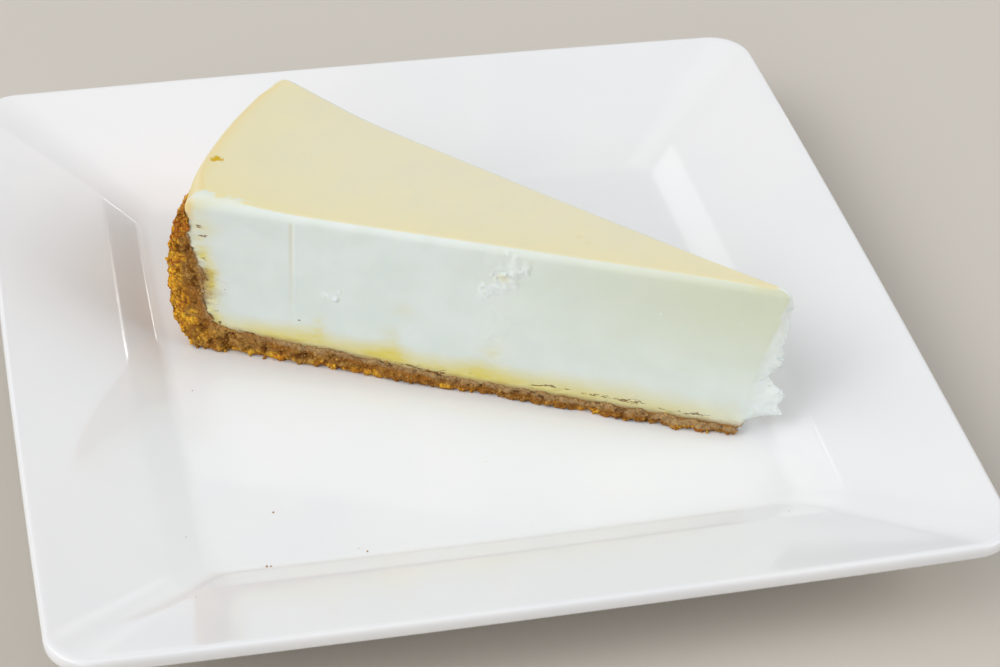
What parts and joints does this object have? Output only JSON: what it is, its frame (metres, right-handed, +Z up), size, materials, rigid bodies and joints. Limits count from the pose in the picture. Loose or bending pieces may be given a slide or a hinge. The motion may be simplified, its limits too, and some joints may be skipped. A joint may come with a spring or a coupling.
{
  "type": "cheesecake slice on plate",
  "caption": "Narrow slice of pale baked cheesecake with a brown crumb crust, resting askew on a square white glazed side plate with a shallow well and a wide sloping flange.",
  "frame": {"origin": "below the middle of the plate, level with the underside of its foot", "axes": "+Z up; +X and +Y along the plate's sides. The slice's broken tip points towards +X and -Y, and its crust faces -X and +Y."},
  "size_m": [0.1906, 0.1906, 0.0465],
  "materials": {
    "white_glaze": "glossy cool white glaze",
    "biscuit_crumb": "matt brown pressed crumb, golden on its outside",
    "cream_filling": "smooth satin cream, pale yellow on top and nearly white where it is cut"
  },
  "bodies": {
    "root": {"plate": "white_glaze", "crust": "biscuit_crumb", "filling": "cream_filling"}
  },
  "joints": []
}
